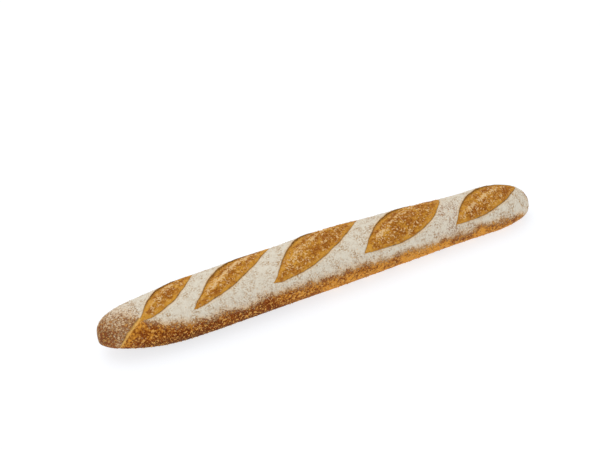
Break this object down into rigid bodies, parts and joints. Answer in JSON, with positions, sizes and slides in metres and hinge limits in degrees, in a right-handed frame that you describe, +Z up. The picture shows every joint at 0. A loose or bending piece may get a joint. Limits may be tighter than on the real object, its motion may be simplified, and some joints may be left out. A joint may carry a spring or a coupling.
{
  "type": "baguette",
  "caption": "Long slender bread loaf with a floured golden crust, slanting opened cuts along its rounded top and a flat underside to rest on.",
  "frame": {"origin": "on the resting plane, under the middle of the loaf's length and width", "axes": "+X along the loaf from the slender end to the blunt end, +Y to the back, +Z up through the cuts"},
  "size_m": [0.5, 0.0672, 0.0523],
  "materials": {
    "crust": "baked crust, golden brown where the cuts opened, dusted with pale flour on top, matt"
  },
  "bodies": {
    "root": {"loaf": "crust"}
  },
  "joints": []
}
